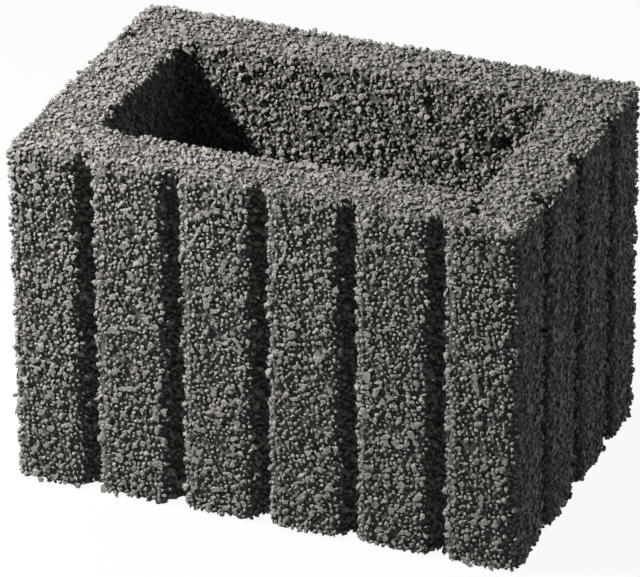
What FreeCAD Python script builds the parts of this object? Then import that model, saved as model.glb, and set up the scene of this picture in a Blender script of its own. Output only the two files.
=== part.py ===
"""Concrete planter block: a rectangular ring of no-fines concrete with two fluted faces and an open cavity.

It is cast in one piece, so it is one solid. Grooves run the full height of the front and right faces,
which are the ones on show, and leave broad flat ribs between them. The back and left faces are plain,
because they stand against the soil or the next block. The cavity goes right through, for soil and roots.
Frame: origin at the centre of the base, +X along the long faces, +Z up. Units are millimetres.
"""

import FreeCAD, Part
import os

# Overall size of the block, over the faces of the ribs
LENGTH = 360.0
WIDTH = 240.0
HEIGHT = 250.0

# Wall thickness from a rib's face to the cavity
LONG_WALL = 50.0
END_WALL = 46.0

# Grooves: both fluted faces share one profile, a trapezium that narrows towards its floor
FRONT_GROOVES = 5
RIGHT_GROOVES = 3
CORNER_TO_GROOVE = 57.0  # from a corner of the block to the middle of the nearest groove
GROOVE_MOUTH = 13.5
GROOVE_FLOOR = 6.0
GROOVE_DEPTH = 12.0

# Radii of the upright edges
CORNER_RADIUS = 10.0
CAVITY_RADIUS = 12.0
RIB_RADIUS = 3.5
FLOOR_RADIUS = 2.5

# Radius of the worn edges round the top rim and round the foot
ARRIS_RADIUS = 3.0

# Two points closer than this are the same point
SAME_POINT = 0.01


def groove_middles(face_length, grooves):
    """Middles of a face's grooves, measured from the middle of the face and evenly spaced."""
    first = CORNER_TO_GROOVE - face_length / 2
    pitch = (face_length - 2 * CORNER_TO_GROOVE) / (grooves - 1)
    return [first + pitch * number for number in range(grooves)]


def face_points(face_length, distance, grooves):
    """One fluted face as (along, outward, radius) points, from its left corner to its last groove."""
    points = [(-face_length / 2, distance, CORNER_RADIUS)]
    for middle in groove_middles(face_length, grooves):
        points += [
            (middle - GROOVE_MOUTH / 2, distance, RIB_RADIUS),
            (middle - GROOVE_FLOOR / 2, distance - GROOVE_DEPTH, FLOOR_RADIUS),
            (middle + GROOVE_FLOOR / 2, distance - GROOVE_DEPTH, FLOOR_RADIUS),
            (middle + GROOVE_MOUTH / 2, distance, RIB_RADIUS),
        ]
    return points


def outline_points():
    """The block's outline in plan as (x, y, radius), anticlockwise from the front left corner."""
    long_face = face_points(LENGTH, WIDTH / 2, FRONT_GROOVES)
    end_face = face_points(WIDTH, LENGTH / 2, RIGHT_GROOVES)
    front = [(along, -outward, radius) for along, outward, radius in long_face]
    right = [(outward, along, radius) for along, outward, radius in end_face]
    back_corners = [(LENGTH / 2, WIDTH / 2, CORNER_RADIUS), (-LENGTH / 2, WIDTH / 2, CORNER_RADIUS)]
    return front + right + back_corners


def cavity_points():
    """The cavity's outline in plan as (x, y, radius)."""
    x = LENGTH / 2 - END_WALL
    y = WIDTH / 2 - LONG_WALL
    corners = [(-x, -y), (x, -y), (x, y), (-x, y)]
    return [(corner_x, corner_y, CAVITY_RADIUS) for corner_x, corner_y in corners]


def prism(points):
    """An upright prism as high as the block, with each upright edge rounded to its own radius."""
    corners = [FreeCAD.Vector(x, y, 0) for x, y, radius in points]
    plan = Part.Face(Part.makePolygon(corners + corners[:1]))
    solid = plan.extrude(FreeCAD.Vector(0, 0, HEIGHT))
    for radius in sorted({radius for x, y, radius in points}):
        places = [FreeCAD.Vector(x, y, 0) for x, y, own_radius in points if own_radius == radius]
        solid = solid.makeFillet(radius, upright_edges(solid, places))
    return solid


def upright_edges(solid, places):
    """The full-height edges that stand on the given points of the base."""
    found = []
    for edge in solid.Edges:
        foot, head = sorted((vertex.Point for vertex in edge.Vertexes), key=lambda point: point.z)
        upright = foot.z < SAME_POINT and head.z > HEIGHT - SAME_POINT
        if upright and any(foot.distanceToPoint(place) < SAME_POINT for place in places):
            found.append(edge)
    return found


def level_edges(solid):
    """Every edge that lies in the top rim or in the foot."""

    def lies_at(edge, height):
        box = edge.BoundBox
        return abs(box.ZMin - height) < SAME_POINT and abs(box.ZMax - height) < SAME_POINT

    return [edge for edge in solid.Edges if lies_at(edge, 0) or lies_at(edge, HEIGHT)]


def planter_block():
    ring = prism(outline_points()).cut(prism(cavity_points()))
    return ring.makeFillet(ARRIS_RADIUS, level_edges(ring))


def main():
    os.makedirs("parts", exist_ok=True)
    block = planter_block()
    solid = block.Solids[0]
    print("solids", len(block.Solids), "valid", solid.isValid(), "litres", round(solid.Volume / 1e6, 3))
    solid.exportStep("parts/planter_block.step")


main()
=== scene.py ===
import bpy
import random
from math import cos, pi, radians, sin
from mathutils import Matrix, Vector


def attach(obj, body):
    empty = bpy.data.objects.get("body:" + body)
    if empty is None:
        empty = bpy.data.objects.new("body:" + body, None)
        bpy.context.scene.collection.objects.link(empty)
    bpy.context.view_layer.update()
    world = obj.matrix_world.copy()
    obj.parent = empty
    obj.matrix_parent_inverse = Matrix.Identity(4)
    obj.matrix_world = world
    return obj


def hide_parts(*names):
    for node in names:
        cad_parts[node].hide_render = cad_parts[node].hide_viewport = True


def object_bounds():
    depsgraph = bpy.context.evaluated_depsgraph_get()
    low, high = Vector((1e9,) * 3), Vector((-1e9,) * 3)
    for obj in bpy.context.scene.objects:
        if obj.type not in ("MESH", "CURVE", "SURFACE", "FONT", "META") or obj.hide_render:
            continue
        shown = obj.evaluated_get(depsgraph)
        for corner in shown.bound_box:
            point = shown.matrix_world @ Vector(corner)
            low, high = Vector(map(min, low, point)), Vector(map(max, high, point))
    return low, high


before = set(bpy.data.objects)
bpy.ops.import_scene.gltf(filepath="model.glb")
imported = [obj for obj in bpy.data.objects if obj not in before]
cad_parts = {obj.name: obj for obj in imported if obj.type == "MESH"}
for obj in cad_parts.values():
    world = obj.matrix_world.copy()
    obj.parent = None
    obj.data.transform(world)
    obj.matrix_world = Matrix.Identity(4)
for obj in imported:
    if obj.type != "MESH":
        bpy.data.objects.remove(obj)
cad_low, cad_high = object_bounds()

# The view: a long lens from the front right, looking down on the open top, with the camera tipped
# by half a degree and aimed a little to the left of and below the block's middle.
VIEW_AZIMUTH, VIEW_ELEVATION, VIEW_ROLL = radians(22.23), radians(27.94), radians(0.54)
VIEW_DISTANCE = 3.71
VIEW_LENS = 311.6
AIM_OFFSET = 0.0052
back = Vector((
    sin(VIEW_AZIMUTH) * cos(VIEW_ELEVATION),
    -cos(VIEW_AZIMUTH) * cos(VIEW_ELEVATION),
    sin(VIEW_ELEVATION),
))
level = Vector((cos(VIEW_AZIMUTH), sin(VIEW_AZIMUTH), 0))
turned = Matrix.Rotation(VIEW_ROLL, 3, -back)
right = turned @ level
above = turned @ back.cross(level)
aim = (cad_low + cad_high) / 2 - AIM_OFFSET * right - AIM_OFFSET * above

camera = bpy.data.objects.new("camera", bpy.data.cameras.new("camera"))
camera.data.lens = VIEW_LENS
camera.data.clip_end = 50
facing = Matrix((right, above, back)).transposed().to_4x4()
camera.matrix_world = Matrix.Translation(aim + VIEW_DISTANCE * back) @ facing
bpy.context.scene.collection.objects.link(camera)
bpy.context.scene.camera = camera


# The cast body: no-fines concrete, pressed into a fluted steel mould and turned out. Its cement
# sits a little below the chips of stone, and is all that shows at the bottom of the pores. It is
# coloured much darker than the chips, as painted shade for the pores.
BODY_VOXEL = 0.0030
BODY_SINK = 0.0027
CLUMP_SIZE, CLUMP_HEIGHT = 0.010, 0.0024
PORE_SIZE, PORE_DEPTH = 0.005, 0.0012
SAME_POINT = 0.00001

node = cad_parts["planter_block"]
cast_body = bpy.data.objects.new("cast_body", node.data.copy())
bpy.context.scene.collection.objects.link(cast_body)
bpy.ops.object.select_all(action="DESELECT")
cast_body.select_set(True)
bpy.context.view_layer.objects.active = cast_body
bpy.ops.object.mode_set(mode="EDIT")
bpy.ops.mesh.select_all(action="SELECT")
bpy.ops.mesh.remove_doubles(threshold=SAME_POINT)
bpy.ops.object.mode_set(mode="OBJECT")

remesh = cast_body.modifiers.new("even_faces", "REMESH")
remesh.mode = "VOXEL"
remesh.voxel_size = BODY_VOXEL
bpy.ops.object.modifier_apply(modifier=remesh.name)


def press(piece, name, texture_type, size, strength, middle):
    """Moves the piece's surface in and out by a 3-D pattern of the given grain size."""
    texture = bpy.data.textures.new(name, texture_type)
    texture.noise_scale = size
    displace = piece.modifiers.new(name, "DISPLACE")
    displace.texture = texture
    displace.texture_coords = "LOCAL"
    displace.strength = strength
    displace.mid_level = middle
    bpy.ops.object.modifier_apply(modifier=name)


press(cast_body, "clumps", "CLOUDS", CLUMP_SIZE, CLUMP_HEIGHT, 0.5 + BODY_SINK / CLUMP_HEIGHT)
press(cast_body, "pores", "VORONOI", PORE_SIZE, PORE_DEPTH, 0.3)

# Chips have come away in three places on the rim and one in the cavity.
PIT_RADIUS, PIT_DEPTH = 0.010, 0.013
pits = [
    Vector((0.140, -0.090, 0.250)),
    Vector((-0.166, 0.067, 0.250)),
    Vector((-0.130, -0.038, 0.250)),
    Vector((0.099, 0.070, 0.210)),
]
dents = []
for pit in pits:
    for vertex in cast_body.data.vertices:
        reach = 1 - (vertex.co - pit).length_squared / PIT_RADIUS ** 2
        if reach > 0:
            dents.append((vertex.index, -PIT_DEPTH * reach * vertex.normal))
for index, move in dents:
    cast_body.data.vertices[index].co += move
bpy.ops.object.shade_flat()


def shader_nodes(name):
    """A new material with its node tree, its Principled BSDF and its Object coordinates."""
    material = bpy.data.materials.new(name)
    material.use_nodes = True
    tree = material.node_tree
    coordinates = tree.nodes.new("ShaderNodeTexCoord")
    return material, tree, tree.nodes["Principled BSDF"], coordinates.outputs["Object"]


def concrete_grain():
    """A node group: fine sandy relief and dark and light specks, for every concrete surface."""
    group = bpy.data.node_groups.new("concrete_grain", "ShaderNodeTree")
    group.interface.new_socket("Vector", in_out="INPUT", socket_type="NodeSocketVector")
    group.interface.new_socket("Sand Size", in_out="INPUT", socket_type="NodeSocketFloat")
    group.interface.new_socket("Height", in_out="OUTPUT", socket_type="NodeSocketFloat")
    group.interface.new_socket("Specks", in_out="OUTPUT", socket_type="NodeSocketFloat")
    nodes, links = group.nodes, group.links
    inputs, outputs = nodes.new("NodeGroupInput"), nodes.new("NodeGroupOutput")

    per_metre = nodes.new("ShaderNodeMath")
    per_metre.operation = "DIVIDE"
    per_metre.inputs[0].default_value = 1
    links.new(inputs.outputs["Sand Size"], per_metre.inputs[1])

    sand = nodes.new("ShaderNodeTexNoise")
    sand.inputs["Detail"].default_value = 4
    sand.inputs["Roughness"].default_value = 0.6
    links.new(inputs.outputs["Vector"], sand.inputs["Vector"])
    links.new(per_metre.outputs[0], sand.inputs["Scale"])
    links.new(sand.outputs["Fac"], outputs.inputs["Height"])

    crystals = nodes.new("ShaderNodeTexVoronoi")
    links.new(inputs.outputs["Vector"], crystals.inputs["Vector"])
    links.new(per_metre.outputs[0], crystals.inputs["Scale"])
    bright = nodes.new("ShaderNodeRGBToBW")
    links.new(crystals.outputs["Color"], bright.inputs["Color"])
    links.new(bright.outputs["Val"], outputs.inputs["Specks"])
    return group


grain = concrete_grain()


def cement_and_painted_pore_shade():
    """Cement, matt and sandy, coloured much darker than the chips: painted shade for the bottom of the
    pores.
    """
    material, tree, shader, place = shader_nodes("cement_and_painted_pore_shade")
    nodes, links = tree.nodes, tree.links
    fine = nodes.new("ShaderNodeGroup")
    fine.node_tree = grain
    fine.inputs["Sand Size"].default_value = 0.0012
    links.new(place, fine.inputs["Vector"])
    # Painted shade: this cement is the chips' tone in the real block, and its near-black colours stand
    # in for the shade in the pores.
    colour = nodes.new("ShaderNodeValToRGB")
    colour.color_ramp.elements[0].color = (0.03, 0.028, 0.025, 1)
    colour.color_ramp.elements[1].color = (0.10, 0.094, 0.085, 1)
    links.new(fine.outputs["Specks"], colour.inputs["Fac"])
    links.new(colour.outputs["Color"], shader.inputs["Base Color"])
    rough = nodes.new("ShaderNodeMapRange")
    rough.inputs["To Min"].default_value = 0.8
    rough.inputs["To Max"].default_value = 1.0
    links.new(fine.outputs["Height"], rough.inputs["Value"])
    links.new(rough.outputs["Result"], shader.inputs["Roughness"])
    bump = nodes.new("ShaderNodeBump")
    bump.inputs["Distance"].default_value = 0.0006
    links.new(fine.outputs["Height"], bump.inputs["Height"])
    links.new(bump.outputs["Normal"], shader.inputs["Normal"])
    shader.inputs["Specular IOR Level"].default_value = 0.3
    return material


cast_body.data.materials.clear()
cast_body.data.materials.append(cement_and_painted_pore_shade())
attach(cast_body, "root")
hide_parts("planter_block")


# The chips: crushed stone held by a thin film of cement, with open pores between. Sixteen shapes of
# broken stone, each modelled once, are strewn over every face of the block and half sunk in its cement.
CHIP_SHAPES = 16
random.seed(7)

chips = bpy.data.collections.new("chip_shapes")
bpy.context.scene.collection.children.link(chips)


def broken_chip(number):
    """One chip, about 1 m across before it is scaled: a ball with its corners knocked in and out."""
    bpy.ops.object.select_all(action="DESELECT")
    bpy.ops.mesh.primitive_ico_sphere_add(subdivisions=1, radius=0.5)
    chip = bpy.context.object
    chip.name = f"chip_shape_{number}"
    for corner in chip.data.vertices:
        corner.co *= random.choice((0.55, 0.75, 0.95, 1.1, 1.2))
    bpy.ops.object.mode_set(mode="EDIT")
    bpy.ops.mesh.select_all(action="SELECT")
    bpy.ops.transform.vertex_random(offset=0.16, seed=number)
    bpy.ops.uv.smart_project(island_margin=0.03)
    bpy.ops.object.mode_set(mode="OBJECT")
    bpy.ops.object.shade_flat()
    chip.data.uv_layers[0].name = "chip_map"
    bpy.context.scene.collection.objects.unlink(chip)
    chips.objects.link(chip)
    return chip


chip_shapes = [broken_chip(number) for number in range(CHIP_SHAPES)]


def chip_stone():
    """Crushed stone under a film of cement: each chip has its own tone of grey."""
    material, tree, shader, place = shader_nodes("chip_stone")
    nodes, links = tree.nodes, tree.links
    tone = nodes.new("ShaderNodeAttribute")
    tone.attribute_name = "tone"
    own = nodes.new("ShaderNodeValToRGB")
    ramp = own.color_ramp
    ramp.elements[0].color = (0.22, 0.202, 0.182, 1)
    ramp.elements[1].color = (0.34, 0.323, 0.292, 1)
    ramp.elements.new(0.15).color = (0.27, 0.251, 0.227, 1)
    ramp.elements.new(0.5).color = (0.29, 0.275, 0.250, 1)
    ramp.elements.new(0.9).color = (0.31, 0.295, 0.267, 1)
    links.new(tone.outputs["Fac"], own.inputs["Fac"])
    fine = nodes.new("ShaderNodeGroup")
    fine.node_tree = grain
    fine.inputs["Sand Size"].default_value = 0.0010
    links.new(place, fine.inputs["Vector"])
    speckled = nodes.new("ShaderNodeMix")
    speckled.data_type = "RGBA"
    speckled.blend_type = "MULTIPLY"
    speckled.inputs["Factor"].default_value = 0.35
    links.new(own.outputs["Color"], speckled.inputs["A"])
    links.new(fine.outputs["Specks"], speckled.inputs["B"])
    links.new(speckled.outputs["Result"], shader.inputs["Base Color"])
    rough = nodes.new("ShaderNodeMapRange")
    rough.inputs["To Min"].default_value = 0.65
    rough.inputs["To Max"].default_value = 0.95
    links.new(fine.outputs["Height"], rough.inputs["Value"])
    links.new(rough.outputs["Result"], shader.inputs["Roughness"])
    bump = nodes.new("ShaderNodeBump")
    bump.inputs["Distance"].default_value = 0.0016
    links.new(fine.outputs["Height"], bump.inputs["Height"])
    links.new(bump.outputs["Normal"], shader.inputs["Normal"])
    shader.inputs["Specular IOR Level"].default_value = 0.4
    return material


stone = chip_stone()


def scatter_nodes():
    """A geometry node group that strews chips over a surface and keeps only the chips."""
    group = bpy.data.node_groups.new("strewn_chips", "GeometryNodeTree")
    group.interface.new_socket("Geometry", in_out="INPUT", socket_type="NodeSocketGeometry")
    for name in ("Spacing", "Smallest", "Largest", "Palest"):
        group.interface.new_socket(name, in_out="INPUT", socket_type="NodeSocketFloat")
    group.interface.new_socket("Seed", in_out="INPUT", socket_type="NodeSocketInt")
    group.interface.new_socket("Geometry", in_out="OUTPUT", socket_type="NodeSocketGeometry")
    nodes, links = group.nodes, group.links
    inputs, outputs = nodes.new("NodeGroupInput"), nodes.new("NodeGroupOutput")

    def chance(data_type, low, high, seed):
        node = nodes.new("FunctionNodeRandomValue")
        node.data_type = data_type
        sockets = [s for s in node.inputs if s.enabled]
        for socket, value in zip(sockets, (low, high)):
            if isinstance(value, bpy.types.NodeSocket):
                links.new(value, socket)
            else:
                socket.default_value = value
        node.inputs["Seed"].default_value = seed
        return [s for s in node.outputs if s.enabled][0]

    def maths(operation, *values):
        node = nodes.new("ShaderNodeMath")
        node.operation = operation
        for socket, value in zip(node.inputs, values):
            if isinstance(value, bpy.types.NodeSocket):
                links.new(value, socket)
            else:
                socket.default_value = value
        return node.outputs[0]

    spread = nodes.new("GeometryNodeDistributePointsOnFaces")
    spread.distribute_method = "POISSON"
    spread.inputs["Density Max"].default_value = 5e5
    links.new(inputs.outputs["Geometry"], spread.inputs["Mesh"])
    links.new(inputs.outputs["Spacing"], spread.inputs["Distance Min"])
    links.new(inputs.outputs["Seed"], spread.inputs["Seed"])
    open_pores = nodes.new("ShaderNodeTexNoise")
    open_pores.inputs["Scale"].default_value = 150
    open_pores.inputs["Detail"].default_value = 1
    filled = nodes.new("FunctionNodeCompare")
    filled.inputs["B"].default_value = 0.29
    links.new(open_pores.outputs["Fac"], filled.inputs["A"])
    links.new(filled.outputs["Result"], spread.inputs["Density Factor"])

    # Small chips are many and large ones few. Each stands out of the cement by a share of its size.
    share = maths("POWER", chance("FLOAT", 0.0, 1.0, 5), 3.0)
    size = nodes.new("ShaderNodeMapRange")
    links.new(share, size.inputs["Value"])
    links.new(inputs.outputs["Smallest"], size.inputs["To Min"])
    links.new(inputs.outputs["Largest"], size.inputs["To Max"])
    lifted = nodes.new("ShaderNodeVectorMath")
    lifted.operation = "SCALE"
    links.new(spread.outputs["Normal"], lifted.inputs["Vector"])
    lift = maths("MULTIPLY", size.outputs["Result"], chance("FLOAT", 0.0, 0.5, 1))
    links.new(lift, lifted.inputs["Scale"])
    placed = nodes.new("GeometryNodeSetPosition")
    links.new(spread.outputs["Points"], placed.inputs["Geometry"])
    links.new(lifted.outputs["Vector"], placed.inputs["Offset"])

    shapes = nodes.new("GeometryNodeCollectionInfo")
    shapes.inputs["Collection"].default_value = chips
    shapes.inputs["Separate Children"].default_value = True

    tip = nodes.new("ShaderNodeCombineXYZ")
    links.new(chance("FLOAT", 0.0, 2 * pi, 2), tip.inputs["X"])
    links.new(chance("FLOAT", 0.0, 2 * pi, 3), tip.inputs["Y"])
    links.new(chance("FLOAT", 0.0, 2 * pi, 4), tip.inputs["Z"])
    tipped = nodes.new("FunctionNodeEulerToRotation")
    links.new(tip.outputs[0], tipped.inputs[0])
    turned = nodes.new("FunctionNodeRotateRotation")
    turned.rotation_space = "LOCAL"
    links.new(spread.outputs["Rotation"], turned.inputs["Rotation"])
    links.new(tipped.outputs[0], turned.inputs["Rotate By"])

    scaled = nodes.new("ShaderNodeVectorMath")
    scaled.operation = "SCALE"
    links.new(chance("FLOAT_VECTOR", (0.9, 0.8, 0.7), (1.3, 1.1, 1.0), 6), scaled.inputs["Vector"])
    links.new(size.outputs["Result"], scaled.inputs["Scale"])

    laid = nodes.new("GeometryNodeInstanceOnPoints")
    laid.inputs["Pick Instance"].default_value = True
    links.new(placed.outputs["Geometry"], laid.inputs["Points"])
    links.new(shapes.outputs[0], laid.inputs["Instance"])
    links.new(chance("INT", 0, CHIP_SHAPES - 1, 7), laid.inputs["Instance Index"])
    links.new(turned.outputs[0], laid.inputs["Rotation"])
    links.new(scaled.outputs["Vector"], laid.inputs["Scale"])

    def keep(geometry, name, data_type, domain, value):
        node = nodes.new("GeometryNodeStoreNamedAttribute")
        node.data_type = data_type
        node.domain = domain
        node.inputs["Name"].default_value = name
        links.new(geometry, node.inputs["Geometry"])
        links.new(value, [s for s in node.inputs if s.enabled and s.name == "Value"][0])
        return node.outputs["Geometry"]

    tone = maths("MULTIPLY", inputs.outputs["Palest"], chance("FLOAT", 0.0, 1.0, 8))
    toned = keep(laid.outputs["Instances"], "tone", "FLOAT", "INSTANCE", tone)
    counted = keep(toned, "number", "INT", "INSTANCE", nodes.new("GeometryNodeInputIndex").outputs[0])
    real = nodes.new("GeometryNodeRealizeInstances")
    links.new(counted, real.inputs["Geometry"])

    # Each chip has its own square of the map, in rows and columns.
    total = nodes.new("GeometryNodeAttributeDomainSize")
    total.component = "POINTCLOUD"
    links.new(spread.outputs["Points"], total.inputs["Geometry"])
    columns = maths("CEIL", maths("SQRT", total.outputs["Point Count"]))
    number = nodes.new("GeometryNodeInputNamedAttribute")
    number.data_type = "INT"
    number.inputs["Name"].default_value = "number"
    count = [s for s in number.outputs if s.enabled][0]
    square = nodes.new("ShaderNodeCombineXYZ")
    links.new(maths("MODULO", count, columns), square.inputs["X"])
    links.new(maths("FLOOR", maths("DIVIDE", count, columns)), square.inputs["Y"])
    own_map = nodes.new("GeometryNodeInputNamedAttribute")
    own_map.data_type = "FLOAT_VECTOR"
    own_map.inputs["Name"].default_value = "chip_map"
    inside = nodes.new("ShaderNodeVectorMath")
    links.new(square.outputs[0], inside.inputs[0])
    links.new([s for s in own_map.outputs if s.enabled][0], inside.inputs[1])
    whole = nodes.new("ShaderNodeVectorMath")
    whole.operation = "SCALE"
    links.new(inside.outputs["Vector"], whole.inputs["Vector"])
    links.new(maths("DIVIDE", 1.0, columns), whole.inputs["Scale"])
    mapped = keep(real.outputs["Geometry"], "OFBake", "FLOAT2", "CORNER", whole.outputs["Vector"])

    finished = nodes.new("GeometryNodeSetMaterial")
    finished.inputs["Material"].default_value = stone
    links.new(mapped, finished.inputs["Geometry"])
    links.new(finished.outputs["Geometry"], outputs.inputs["Geometry"])
    return group


strewn = scatter_nodes()


def strew(name, is_here, seed, **settings):
    """Chips over the faces of the cast body that is_here picks by their middle and normal."""
    piece = bpy.data.objects.new(name, cast_body.data.copy())
    bpy.context.scene.collection.objects.link(piece)
    bpy.ops.object.select_all(action="DESELECT")
    piece.select_set(True)
    bpy.context.view_layer.objects.active = piece
    for polygon in piece.data.polygons:
        polygon.select = not is_here(polygon.center, polygon.normal)
    bpy.ops.object.mode_set(mode="EDIT")
    bpy.ops.mesh.select_mode(type="FACE")
    bpy.ops.mesh.delete(type="FACE")
    bpy.ops.object.mode_set(mode="OBJECT")
    modifier = piece.modifiers.new("chips", "NODES")
    modifier.node_group = strewn
    for item in strewn.interface.items_tree:
        if item.in_out == "INPUT" and item.name in settings:
            modifier[item.identifier] = settings[item.name]
        if item.in_out == "INPUT" and item.name == "Seed":
            modifier[item.identifier] = seed
    bpy.ops.object.modifier_apply(modifier=modifier.name)
    for vertex in piece.data.vertices:
        vertex.co = [min(max(v, low), high) for v, low, high in zip(vertex.co, cad_low, cad_high)]
    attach(piece, "root")


half_length, half_width, height = cad_high.x, cad_high.y, cad_high.z
MID_WALL = 0.023  # from an outer face to about the middle of its wall
RIM_DEPTH = 0.006  # how far the rim and the foot reach down and up the walls, with their worn edges


def in_cavity(middle):
    return abs(middle.x) < half_length - MID_WALL and abs(middle.y) < half_width - MID_WALL


def on_rim(middle, normal):
    return middle.z > height - RIM_DEPTH and normal.z > 0.5


def on_foot(middle, normal):
    return middle.z < RIM_DEPTH and normal.z < -0.5


def outside(middle, normal):
    return not (in_cavity(middle) or on_rim(middle, normal) or on_foot(middle, normal))


def on_long_face(middle):
    return half_width - abs(middle.y) < half_length - abs(middle.x)


# The rim's chips are a little further apart than the sides', and the cavity's are held to darker tones,
# as painted shade for the inside of the cavity.
side = dict(Spacing=0.0029, Smallest=0.0028, Largest=0.0062, Palest=1.0)
rim = dict(Spacing=0.0032, Smallest=0.0028, Largest=0.0064, Palest=1.0)
# Painted shade: the cavity's chips take only the darkest third of the tone ramp.
cavity_painted_shade = dict(Spacing=0.0029, Smallest=0.0028, Largest=0.0062, Palest=0.3)
strew("front_chips", lambda m, n: outside(m, n) and on_long_face(m) and m.y < 0, 1, **side)
strew("back_chips", lambda m, n: outside(m, n) and on_long_face(m) and m.y > 0, 2, **side)
strew("left_chips", lambda m, n: outside(m, n) and not on_long_face(m) and m.x < 0, 3, **side)
strew("right_chips", lambda m, n: outside(m, n) and not on_long_face(m) and m.x > 0, 4, **side)
strew("rim_chips", on_rim, 5, **rim)
strew("foot_chips", on_foot, 6, **side)


def in_walls(middle, normal):
    return in_cavity(middle) and not on_rim(middle, normal) and not on_foot(middle, normal)


def on_cavity_end(middle):
    return half_length - abs(middle.x) < half_width - abs(middle.y)


strew("cavity_side_chips", lambda m, n: in_walls(m, n) and not on_cavity_end(m), 7, **cavity_painted_shade)
strew("cavity_end_chips", lambda m, n: in_walls(m, n) and on_cavity_end(m), 8, **cavity_painted_shade)

for chip in chip_shapes:
    bpy.data.objects.remove(chip)
bpy.data.collections.remove(chips)


# The stage: a plain pale floor, a small key lamp high on the left, a large faint lamp behind on the
# right, and a dim sky. The floor and the sky show white but light the block much less.
def shows_white(nodes, links):
    """1 for a ray from the camera or a reflection, 0 for light on its way to the block."""
    rays = nodes.new("ShaderNodeLightPath")
    either = nodes.new("ShaderNodeMath")
    either.operation = "MAXIMUM"
    links.new(rays.outputs["Is Camera Ray"], either.inputs[0])
    links.new(rays.outputs["Is Glossy Ray"], either.inputs[1])
    any_of = nodes.new("ShaderNodeMath")
    any_of.operation = "MAXIMUM"
    links.new(either.outputs[0], any_of.inputs[0])
    links.new(rays.outputs["Is Transmission Ray"], any_of.inputs[1])
    return any_of.outputs[0]


bpy.ops.object.select_all(action="DESELECT")
bpy.ops.mesh.primitive_plane_add(size=30)
floor = bpy.context.object
floor.name = "floor"
pale = bpy.data.materials.new("pale_floor")
pale.use_nodes = True
nodes, links = pale.node_tree.nodes, pale.node_tree.links
shader = nodes["Principled BSDF"]
shader.inputs["Base Color"].default_value = (0.16, 0.16, 0.16, 1)
shader.inputs["Roughness"].default_value = 1
glow = nodes.new("ShaderNodeEmission")
blend = nodes.new("ShaderNodeMixShader")
share = nodes.new("ShaderNodeMath")
share.operation = "MULTIPLY"
share.inputs[1].default_value = 0.85
links.new(shows_white(nodes, links), share.inputs[0])
links.new(share.outputs[0], blend.inputs["Fac"])
links.new(shader.outputs["BSDF"], blend.inputs[1])
links.new(glow.outputs["Emission"], blend.inputs[2])
links.new(blend.outputs["Shader"], nodes["Material Output"].inputs["Surface"])
glow.inputs["Strength"].default_value = 1.1
floor.data.materials.append(pale)

KEY_DISTANCE, FILL_DISTANCE = 1.3, 2
key = bpy.data.objects.new("key", bpy.data.lights.new("key", "AREA"))
key.data.shape = "DISK"
key.data.size = 0.08
key.data.energy = 45
towards_key = Vector((-0.60, -0.375, 0.708)).normalized()
key.location = aim + KEY_DISTANCE * towards_key
key.rotation_euler = towards_key.to_track_quat("Z", "Y").to_euler()
bpy.context.scene.collection.objects.link(key)

fill = bpy.data.objects.new("fill", bpy.data.lights.new("fill", "AREA"))
fill.data.shape = "DISK"
fill.data.size = 2
fill.data.energy = 9
towards_fill = Vector((0.76, 0.60, 0.25)).normalized()
fill.location = aim + FILL_DISTANCE * towards_fill
fill.rotation_euler = towards_fill.to_track_quat("Z", "Y").to_euler()
bpy.context.scene.collection.objects.link(fill)

world = bpy.data.worlds.new("studio")
bpy.context.scene.world = world
world.use_nodes = True
nodes, links = world.node_tree.nodes, world.node_tree.links
background = nodes["Background"]
strength = nodes.new("ShaderNodeMapRange")
strength.inputs["To Min"].default_value = 0.06
strength.inputs["To Max"].default_value = 1.0
links.new(shows_white(nodes, links), strength.inputs["Value"])
links.new(strength.outputs["Result"], background.inputs["Strength"])
background.inputs["Color"].default_value = (1, 1, 1, 1)

bpy.context.scene.view_settings.view_transform = "Standard"
